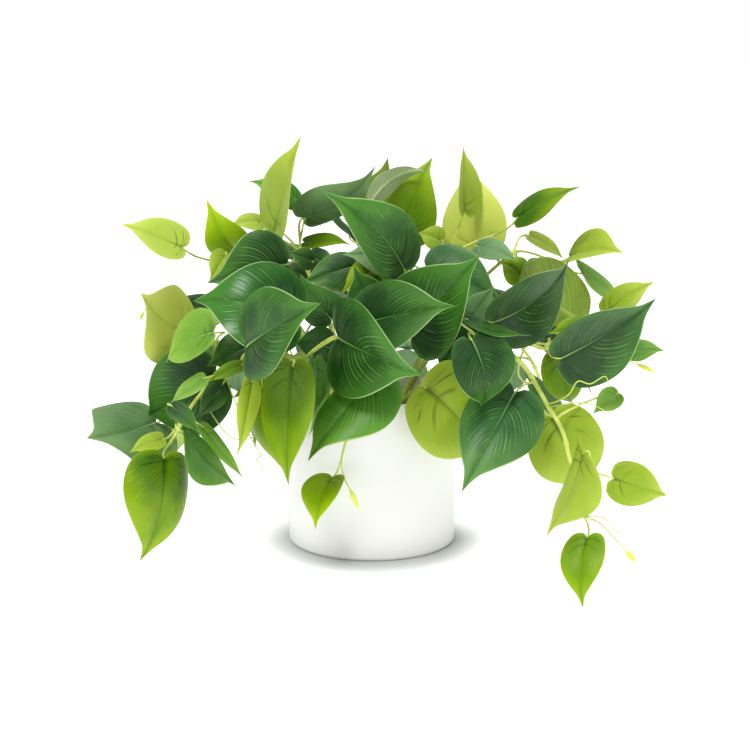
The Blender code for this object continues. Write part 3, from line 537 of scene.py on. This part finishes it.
# Each underside: colour and vein.  The tones that TONE_BACKS leaves out have the dark one.
UNDERSIDES = {
    "dark": ((104, 140, 92), (146, 176, 120)),
    "olive": ((116, 142, 42), (154, 178, 74)),
    "light": ((174, 198, 92), (204, 220, 124)),
    "pale": ((186, 206, 152), (214, 226, 182)),
}
TONE_BACKS = {
    "bright": "olive", "spring": "olive", "olive": "olive",
    "fresh": "light", "vivid": "light", "lime": "light", "soft_lime": "light",
    "butter": "pale", "pale": "pale", "grey": "pale",
}


def srgb(display):
    """Linear colour from display values."""
    def linear(value):
        value = value / 255
        return value / 12.92 if value <= 0.04045 else ((value + 0.055) / 1.055) ** 2.4
    return tuple(linear(value) for value in display) + (1.0,)


def darken(colour, share):
    return tuple(share * c for c in colour[:3]) + (1.0,)


class Shader:
    """Short way to write a node material."""

    def __init__(self, name):
        self.material = bpy.data.materials.new(name)
        self.material.use_nodes = True
        self.nodes = self.material.node_tree.nodes
        self.links = self.material.node_tree.links
        self.surface = next(n for n in self.nodes if n.type == "BSDF_PRINCIPLED")

    def put(self, socket, value):
        if isinstance(value, bpy.types.NodeSocket):
            self.links.new(value, socket)
        else:
            socket.default_value = value

    def math(self, operation, first, second, third=0.0):
        node = self.nodes.new("ShaderNodeMath")
        node.operation = operation
        for socket, value in zip(node.inputs, (first, second, third)):
            self.put(socket, value)
        return node.outputs[0]

    def times(self, value, *others):
        for other in others:
            value = self.math("MULTIPLY", value, other)
        return value

    def plus(self, value, *others):
        for other in others:
            value = self.math("ADD", value, other)
        return value

    def ramp(self, value, low, high, start=0.0, end=1.0):
        """Smooth step from start, where the value is low, to end, where it is high."""
        node = self.nodes.new("ShaderNodeMapRange")
        node.interpolation_type = "SMOOTHSTEP"
        self.put(node.inputs["Value"], value)
        for socket, number in zip(("From Min", "From Max", "To Min", "To Max"), (low, high, start, end)):
            node.inputs[socket].default_value = number
        return node.outputs["Result"]

    def mix(self, share, first, second):
        """Mix of two colours.  A colour Mix node has its share at input 0 and its colours at 6 and 7."""
        node = self.nodes.new("ShaderNodeMix")
        node.data_type = "RGBA"
        for socket, value in ((0, share), (6, first), (7, second)):
            self.put(node.inputs[socket], value)
        return node.outputs[2]

    def noise(self, vector, kind):
        node = self.nodes.new("ShaderNodeTexNoise")
        self.put(node.inputs["Vector"], vector)
        for socket, value in zip(("Scale", "Detail", "Roughness"), kind):
            node.inputs[socket].default_value = value
        return node.outputs["Fac"]

    def object_place(self):
        return self.nodes.new("ShaderNodeTexCoord").outputs["Object"]

    def bump(self, height, strength, distance):
        node = self.nodes.new("ShaderNodeBump")
        self.put(node.inputs["Height"], height)
        node.inputs["Strength"].default_value = strength
        node.inputs["Distance"].default_value = distance
        self.links.new(node.outputs["Normal"], self.surface.inputs["Normal"])

    def paint(self, colour, roughness, specular=0.5):
        self.put(self.surface.inputs["Base Color"], colour)
        self.put(self.surface.inputs["Roughness"], roughness)
        self.surface.inputs["Specular IOR Level"].default_value = specular


def leaf_coordinates(mat):
    """Place along the veins, distance from the midrib (0 to 1) and a place in space."""
    node = mat.nodes.new("ShaderNodeUVMap")
    node.uv_map = "LeafMap"
    split = mat.nodes.new("ShaderNodeSeparateXYZ")
    mat.links.new(node.outputs["UV"], split.inputs[0])
    away = mat.math("ABSOLUTE", mat.math("MULTIPLY_ADD", split.outputs[1], 2.0, -1.0), 0.0)
    return split.outputs[0], away, mat.object_place()


def vein_lines(mat, run, place, count, width, wander):
    """Thin lines at even steps along the blade, each following a side vein."""
    drift = mat.times(mat.math("SUBTRACT", mat.noise(place, VEIN_DRIFT), 0.5), wander)
    step = mat.plus(mat.times(run, count), drift)
    return mat.ramp(mat.math("PINGPONG", step, 0.5), 0.0, width, 1.0, 0.0)


def leaf_material(name, deep, light, vein, rim, roughness, contrast, dark_rib):
    """Printed plastic leaf: hairline side veins of uneven strength, painted shade in the creases by the
    midrib, cut rim.
    """
    deep, light, vein, rim = (srgb(colour) for colour in (deep, light, vein, rim))
    # Dark colour of the painted shade in the creases, also used for the midrib line of dark_rib tones.
    dark = darken(deep, 0.35)
    mat = Shader(name)
    run, away, place = leaf_coordinates(mat)

    # The ground is deep by the midrib and light towards the margin and tip, and differs from leaf to leaf.
    cloud = mat.noise(place, LEAF_CLOUD)
    tint = mat.nodes.new("ShaderNodeObjectInfo").outputs["Random"]
    share = mat.plus(
        mat.ramp(away, 0.35, 1.0, 0.0, 0.4),
        mat.ramp(run, 0.60, 1.0, 0.0, 0.35),
        mat.ramp(cloud, 0.3, 0.7, -0.10, 0.17),
        mat.math("MULTIPLY_ADD", tint, 0.30, -0.12),
    )
    ground = mat.mix(mat.ramp(share, 0.0, 1.0), deep, light)

    # The side veins and finer ones between them fade out at the midrib and the margin, and in patches.
    main = vein_lines(mat, run, place, VEINS, 0.10, 0.25)
    fine = vein_lines(mat, run, place, VEINS * 2.0, 0.18, 0.50)
    fade = mat.times(mat.ramp(away, 0.02, 0.20), mat.ramp(away, 0.72, 0.96, 1.0, 0.0))
    lines = mat.times(fade, mat.ramp(mat.noise(place, VEIN_PATCHES), 0.38, 0.62, 0.10, 1.0))
    main_share = mat.times(main, lines, 0.25 * contrast)
    fine_share = mat.times(fine, lines, 0.20 * contrast)
    colour = mat.mix(fine_share, ground, vein)
    colour = mat.mix(main_share, colour, vein)

    # Painted shade: the creases that run out from the midrib in patches, and the groove along it, are
    # darkened.
    fold = mat.times(
        vein_lines(mat, mat.plus(run, 0.02), place, VEINS / 3.0, 0.15, 0.12),
        mat.ramp(away, 0.25, 0.62, 1.0, 0.0),
        mat.ramp(run, 0.40, 0.75, 1.0, 0.0),
        mat.ramp(mat.noise(place, CREASE_PATCHES), 0.36, 0.54),
    )
    colour = mat.mix(mat.math("MINIMUM", mat.times(fold, 2.0), 0.85), colour, dark)
    # Painted shade in the groove along the midrib.
    midrib_groove_shade = mat.times(mat.ramp(away, 0.02, 0.09, 1.0, 0.0), mat.ramp(run, 0.35, 0.85, 0.8, 0.0))
    colour = mat.mix(midrib_groove_shade, colour, dark)

    # Midrib in the vein colour, on dark_rib tones in the dark colour of the painted crease shade; and cut
    # rim.
    rib = mat.times(mat.ramp(away, 0.006, 0.022, 1.0, 0.0), mat.ramp(run, 0.3, 1.0, 0.85, 0.20))
    colour = mat.mix(rib, colour, dark if dark_rib else vein)
    colour = mat.mix(mat.ramp(away, *RIM_SPAN, 0.0, 0.6), colour, rim)
    rough = mat.plus(roughness, mat.times(cloud, 0.12), mat.times(main_share, 0.15))
    mat.paint(colour, rough, 0.2 if dark_rib else 0.25)

    # The veins and creases are pressed into a fine grain.
    height = mat.times(mat.math("MAXIMUM", main, mat.times(fine, 0.4)), fade)
    height = mat.plus(height, mat.times(fold, 1.2))
    grain = mat.times(mat.noise(place, LEAF_GRAIN), 0.12)
    mat.bump(mat.math("SUBTRACT", grain, height), 0.45, 0.00032)
    return mat.material


def underside_material(name, ground, vein):
    """Matt back of a leaf with its veins standing proud."""
    ground, vein = srgb(ground), srgb(vein)
    mat = Shader(name)
    run, away, place = leaf_coordinates(mat)
    cloud = mat.noise(place, BACK_CLOUD)
    colour = mat.mix(mat.ramp(cloud, 0.3, 0.7), ground, darken(ground, 0.72))
    main = vein_lines(mat, run, place, VEINS, 0.16, 0.10)
    fade = mat.times(mat.ramp(away, 0.0, 0.10), mat.ramp(away, 0.7, 0.97, 1.0, 0.0))
    share = mat.times(main, fade)
    colour = mat.mix(mat.times(share, 0.5), colour, vein)
    colour = mat.mix(mat.ramp(away, 0.02, 0.07, 0.7, 0.0), colour, vein)
    colour = mat.mix(mat.ramp(away, *RIM_SPAN, 0.0, 0.5), colour, vein)
    mat.paint(colour, mat.math("MULTIPLY_ADD", cloud, 0.15, 0.55), 0.3)
    mat.bump(share, 0.5, 0.0004)
    return mat.material


def stem_material(name, young, old):
    """Stem, greener where young and browner in patches and specks, with a fine speckled bump."""
    young, old = srgb(young), srgb(old)
    mat = Shader(name)
    place = mat.object_place()
    patch = mat.noise(place, STEM_PATCHES)
    speck = mat.noise(place, STEM_SPECKS)
    colour = mat.mix(mat.ramp(patch, 0.42, 0.68), young, old)
    colour = mat.mix(mat.ramp(speck, 0.62, 0.75, 0.0, 0.35), colour, old)
    mat.paint(colour, mat.math("MULTIPLY_ADD", patch, 0.2, 0.38))
    mat.bump(speck, 0.35, 0.0003)
    return mat.material


def pot_material():
    """Satin white glaze with faint waviness and pin pores."""
    white, shade, pore_colour = (srgb(colour) for colour in POT_COLOURS)
    mat = Shader("pot_glaze")
    place = mat.object_place()
    cloud = mat.noise(place, GLAZE_CLOUD)
    pore = mat.noise(place, GLAZE_PORES)
    colour = mat.mix(mat.ramp(cloud, 0.3, 0.7), white, shade)
    colour = mat.mix(mat.ramp(pore, 0.76, 0.82, 0.0, 0.25), colour, pore_colour)
    mat.paint(colour, mat.math("MULTIPLY_ADD", cloud, 0.14, 0.30))
    wave = mat.noise(place, GLAZE_WAVES)
    mat.bump(mat.plus(wave, mat.times(pore, 0.2)), 0.10, 0.0004)
    return mat.material


def soil_material(name, dark, light):
    """Matt crumbly mix of two browns."""
    dark, light = srgb(dark), srgb(light)
    mat = Shader(name)
    place = mat.object_place()
    crumb = mat.noise(place, SOIL_CRUMBS)
    patch = mat.noise(place, SOIL_PATCHES)
    colour = mat.mix(mat.ramp(crumb, 0.35, 0.7), dark, light)
    colour = mat.mix(mat.ramp(patch, 0.4, 0.7, 0.0, 0.5), colour, dark)
    mat.paint(colour, mat.ramp(crumb, 0.0, 1.0, 0.8, 0.98))
    mat.bump(crumb, 0.8, 0.0012)
    return mat.material


# --- pot and soil ---

def lathe(name, profile, segments):
    """Turned body from (radius, height) points in millimetres."""
    mesh = bpy.data.meshes.new(name)
    edges = [(i, i + 1) for i in range(len(profile) - 1)]
    mesh.from_pydata([(r * MM, 0.0, z * MM) for r, z in profile], edges, [])
    obj = add_object(name, mesh)
    screw = obj.modifiers.new("turn", "SCREW")
    screw.axis = "Z"
    screw.angle = math.tau
    screw.steps = segments
    screw.render_steps = segments
    screw.use_merge_vertices = True
    screw.merge_threshold = 0.00001
    screw.use_smooth_shade = True
    bpy.context.view_layer.update()
    turned = bpy.data.meshes.new_from_object(obj.evaluated_get(bpy.context.evaluated_depsgraph_get()))
    obj.modifiers.clear()
    obj.data = turned
    return obj


def corner(centre, radius, start, end, steps):
    """Round points about a centre, from one angle to another in degrees."""
    points = []
    for k in range(steps + 1):
        angle = math.radians(start + (end - start) * k / steps)
        points.append((centre[0] + radius * math.cos(angle), centre[1] + radius * math.sin(angle)))
    return points


def straight(start, end, steps):
    """Points between two profile points, without the first."""
    return [
        (start[0] + (end[0] - start[0]) * k / steps, start[1] + (end[1] - start[1]) * k / steps)
        for k in range(1, steps + 1)
    ]


def make_pot():
    """Cylinder with a rounded foot and rim, from the middle of its inside floor to that of its underside."""
    inner = POT_RADIUS - POT_WALL
    turn = inner - POT_INSIDE_ROUND
    rim = POT_HEIGHT - RIM_ROUND
    profile = [(0.0, POT_FLOOR), (turn, POT_FLOOR)]
    profile += corner((turn, POT_FLOOR + POT_INSIDE_ROUND), POT_INSIDE_ROUND, 270, 360, 6)
    profile += straight(profile[-1], (inner, rim), 8)
    profile += corner((inner + RIM_ROUND, rim), RIM_ROUND, 180, 90, 6)
    profile += corner((POT_RADIUS - RIM_ROUND, rim), RIM_ROUND, 90, 0, 6)
    profile += straight(profile[-1], (POT_RADIUS, FOOT_ROUND), 12)
    profile += corner((POT_RADIUS - FOOT_ROUND, FOOT_ROUND), FOOT_ROUND, 0, -90, 8)[1:]
    pot = lathe("pot_shell", profile + FOOT_RING, POT_SEGMENTS)
    pot.data.materials.append(pot_material())
    return pot


def make_soil():
    """Crumbly top of the potting mix, with bark chips lying on it."""
    edge = POT_RADIUS - POT_WALL - FIT_GAP
    profile = [(0.0, SOIL_CROWN)]
    profile += straight(profile[-1], (edge, SOIL_EDGE), 26)
    profile += straight(profile[-1], (edge, SOIL_BOTTOM + SOIL_ROUND), 4)
    profile += [(edge - SOIL_ROUND, SOIL_BOTTOM), (0.0, SOIL_BOTTOM)]
    soil = lathe("soil_body", profile, SOIL_SEGMENTS)
    for vertex in soil.data.vertices:
        spot = vertex.co
        reach = math.hypot(spot.x, spot.y) / (edge * MM)
        if spot.z > 90 * MM and reach < 0.97:
            spot.z += noise.fractal(spot * CRUMBLE_SCALE, 1.0, 2.0, 4) * SOIL_CRUMBLE * MM
    soil.data.materials.append(soil_material("soil_crumb", *SOIL_COLOURS))

    draw = random.Random(BARK_SEED)
    work = bmesh.new()
    for _ in range(BARK_CHIPS):
        angle = draw.uniform(0, math.tau)
        reach = math.sqrt(draw.uniform(0, 1)) * (edge - BARK_INSET)
        centre = Vector((reach * math.cos(angle), reach * math.sin(angle), SOIL_CROWN - BARK_SINK))
        size = draw.uniform(0.8, 2.6)
        turn = Vector((draw.uniform(-1, 1), draw.uniform(-1, 1), draw.uniform(-1, 1))).normalized()
        spin = turn.to_track_quat("Z", "Y").to_matrix()
        shape = Vector((size, size * draw.uniform(0.4, 0.9), size * draw.uniform(0.2, 0.45)))
        for vertex in bmesh.ops.create_icosphere(work, subdivisions=1, radius=1.0)["verts"]:
            rough = 1 + 0.25 * draw.uniform(-1, 1)
            flat = spin @ (vertex.co * shape * rough)
            flat.z *= 0.5
            vertex.co = (centre + flat) * MM
    mesh = bpy.data.meshes.new("soil_bark")
    work.to_mesh(mesh)
    work.free()
    mesh.materials.append(soil_material("bark_chip", *BARK_COLOURS))
    return soil, add_object("soil_bark", mesh)


# --- vines and leaves ---

def vine_radii(path, seed):
    """Taper along the vine with a swelling at each leaf node."""
    offset = random.Random(seed).uniform(0, NODE_SPACING)
    runs = [0.0]
    for i in range(1, len(path)):
        runs.append(runs[-1] + (path[i] - path[i - 1]).length)
    radii = []
    for run in runs:
        near = abs((run + offset) % NODE_SPACING - NODE_SPACING / 2)
        swell = NODE_SWELL * math.exp(-(near / NODE_REACH) ** 2)
        radii.append(VINE_BASE_RADIUS + (VINE_END_RADIUS - VINE_BASE_RADIUS) * (run / runs[-1]) + swell)
    return radii


def stalk_radii(count):
    """Stalk that is broad where it clasps the vine and thickens a little under the leaf."""
    radii = []
    for k in range(count):
        t = k / (count - 1)
        broad = (STALK_SWELL - STALK_RADIUS) * math.exp(-(t / 0.10) ** 2)
        under_leaf = 0.22 * math.exp(-((1 - t) / 0.06) ** 2)
        radii.append(STALK_RADIUS + broad + under_leaf - 0.12 * t)
    radii[-1] *= 0.6
    return radii


# Each tendril: its vine, its points and its radius, in millimetres.
TENDRILS = [
    ("right_low", [(119, -64, 114), (123, -75, 117), (131, -90, 126), (135, -105, 138), (143, -108, 137),
        (152, -108, 142), (155, -108, 137)], 0.65),
    ("right_low", [(121, -66, 112), (136, -85, 119), (147, -90, 119), (156, -92, 115),
        (162, -92, 116)], 0.6),
    ("right_low", [(139, -122, 51), (143, -128, 53), (152, -130, 52), (161, -132, 43),
        (165, -132, 49)], 0.55),
    ("left_low", [(-117, -62, 119), (-100, -70, 96), (-89, -74, 91), (-79, -78, 94)], 0.55),
    ("left_low", [(-100, -58, 132), (-84, -76, 98), (-75, -79, 82), (-78, -80, 79), (-75, -81, 76),
        (-73, -82, 69)], 0.55),
]

# Each bud: its vine, the points of its stalk, the place it points to and its size, in millimetres.
BUDS = [
    ("right_low", [(139, -122, 51), (148, -124, 48), (156, -126, 41), (166, -130, 30)],
        (170, -131, 26), 5.0),
    ("right", [(118, -56, 150), (150, -46, 146), (180, -56, 140)], (190, -60, 136), 4.2),
    ("left_mid", [(-143, -2, 175), (-156, 4, 171), (-162, 2, 166)], (-164, 0, 162), 3.0),
    ("front", [(-16, -79, 94), (-20, -80, 80), (-19, -81, 68), (-15, -82, 59)], (-10, -83, 48), 4.2),
]


def add_bud(tubes, spots, place, size):
    """Slender bud at the end of a thin stalk."""
    route = smooth_path(spots, TENDRIL_STEPS)
    tubes.add(route, [BUD_STALK_RADIUS] * len(route), TENDRIL_SIDES, TENDRIL)
    start = Vector(spots[-1])
    end = Vector(place) + (Vector(place) - start).normalized() * size
    steps = range(BUD_STEPS + 1)
    body = [start + (end - start) * k / BUD_STEPS for k in steps]
    swell = [max(0.15, 0.42 * size * math.sin(math.pi * (k / BUD_STEPS) ** 0.8)) for k in steps]
    tubes.add(body, swell, BUD_SIDES, BUD)


def make_vines(materials):
    """Every vine with its stalks, tendrils and buds, one piece for each CAD vine node."""
    pieces = {}
    for order, (name, points) in enumerate(VINES.items()):
        coarse = smooth_path(points, JOINING_STEPS)
        fine = smooth_path(points, VINE_STEPS)
        tubes = Tubes()
        tubes.add(fine, vine_radii(fine, order), VINE_SIDES, STEM)
        for _, vine, _, base, tip, _, face, rise, _ in LEAVES + MOULDED_LEAVES:
            if vine == name:
                route = stalk_route(coarse, Vector(base), Vector(tip), face, rise, STALK_STEPS)
                tubes.add(route, stalk_radii(len(route)), STALK_SIDES, STEM)
        for vine, spots, radius in TENDRILS:
            if vine == name:
                route = smooth_path(spots, TENDRIL_STEPS)
                taper = [radius * (1 - TENDRIL_TAPER * i / (len(route) - 1)) for i in range(len(route))]
                tubes.add(route, taper, TENDRIL_SIDES, TENDRIL)
        for vine, spots, place, size in BUDS:
            if vine == name:
                add_bud(tubes, spots, place, size)
        pieces["vine_" + name] = tubes.build("vine_" + name + "_stems", materials)
    return pieces


def make_leaves():
    """Every leaf as a piece of its own, for its CAD leaf node or for the vine that it is moulded with."""
    tops = {tone: leaf_material("leaf_" + tone, *look) for tone, look in LEAF_LOOKS.items()}
    backs = {name: underside_material("leaf_back_" + name, *look) for name, look in UNDERSIDES.items()}
    for order, leaf in enumerate(LEAVES + MOULDED_LEAVES):
        name, vine, tone, base, tip, width, face, rise, droop = leaf
        own = order < len(LEAVES)
        blade = leaf_piece(name + "_blade", base, tip, width, face, rise, droop, LEAF_SEED + order)
        blade.data.materials.append(tops[tone])
        blade.data.materials.append(backs[TONE_BACKS.get(tone, "dark")])
        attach(blade, "root")
        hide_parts(name if own else "vine_" + vine)


# --- floor, light and camera ---

def make_floor():
    """White floor that glows a little, apart from a soft contact shadow round the pot's foot."""
    bpy.ops.mesh.primitive_plane_add(size=FLOOR_SIZE, location=(0.0, FLOOR_BACK, 0.0))
    floor = bpy.context.object
    floor.name = "floor"
    mat = Shader("floor_white")
    spread = mat.nodes.new("ShaderNodeVectorMath")
    spread.operation = "DISTANCE"
    mat.links.new(mat.object_place(), spread.inputs[0])
    spread.inputs[1].default_value = (0.0, SHADOW_BACK - FLOOR_BACK, 0.0)
    away = spread.outputs["Value"]
    mat.paint(mat.mix(mat.ramp(away, *SHADOW_SPAN), SHADOW_COLOUR, FLOOR_COLOUR), 0.9, 0.1)
    mat.surface.inputs["Emission Color"].default_value = WHITE
    mat.put(mat.surface.inputs["Emission Strength"], mat.ramp(away, *GLOW_SPAN, 0.0, FLOOR_GLOW))
    floor.data.materials.append(mat.material)


def make_world():
    """White surround, brighter as the camera sees it than as it lights the plant."""
    world = bpy.data.worlds.new("studio")
    bpy.context.scene.world = world
    world.use_nodes = True
    nodes = world.node_tree.nodes
    links = world.node_tree.links
    chooser = nodes.new("ShaderNodeMixShader")
    links.new(nodes.new("ShaderNodeLightPath").outputs["Is Camera Ray"], chooser.inputs[0])
    light = next(n for n in nodes if n.type == "BACKGROUND")
    seen = nodes.new("ShaderNodeBackground")
    for socket, background, strength in ((1, light, WORLD_LIGHT), (2, seen, WORLD_SEEN)):
        background.inputs["Color"].default_value = WHITE
        background.inputs["Strength"].default_value = strength
        links.new(background.outputs[0], chooser.inputs[socket])
    output = next(n for n in nodes if n.type == "OUTPUT_WORLD")
    links.new(chooser.outputs[0], output.inputs["Surface"])
    bpy.context.scene.view_settings.view_transform = "Standard"


def make_lights():
    for name, place, target, size, power in LIGHTS:
        light = bpy.data.lights.new(name, "AREA")
        light.shape = "DISK"
        light.size = size
        light.energy = power
        lamp = add_object(name, light)
        lamp.location = place
        lamp.rotation_euler = (Vector(target) - Vector(place)).to_track_quat("-Z", "Y").to_euler()


def make_camera():
    camera = bpy.data.cameras.new("camera")
    camera.lens = CAMERA_LENS
    camera.sensor_width = SENSOR
    camera.clip_start, camera.clip_end = CAMERA_CLIP
    holder = add_object("camera", camera)
    holder.location = CAMERA_PLACE
    holder.rotation_euler = (math.radians(90 - CAMERA_DIP), 0.0, 0.0)
    bpy.context.scene.camera = holder


pot = make_pot()
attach(pot, "root")
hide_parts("pot")

for piece in make_soil():
    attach(piece, "root")
    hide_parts("soil")

stem_looks = [
    stem_material("stem_green", *STEM_COLOURS),
    stem_material("tendril_green", *TENDRIL_COLOURS),
    stem_material("bud_lime", *BUD_COLOURS),
]
for name, piece in make_vines(stem_looks).items():
    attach(piece, "root")
    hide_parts(name)

make_leaves()
make_floor()
make_world()
make_lights()
make_camera()
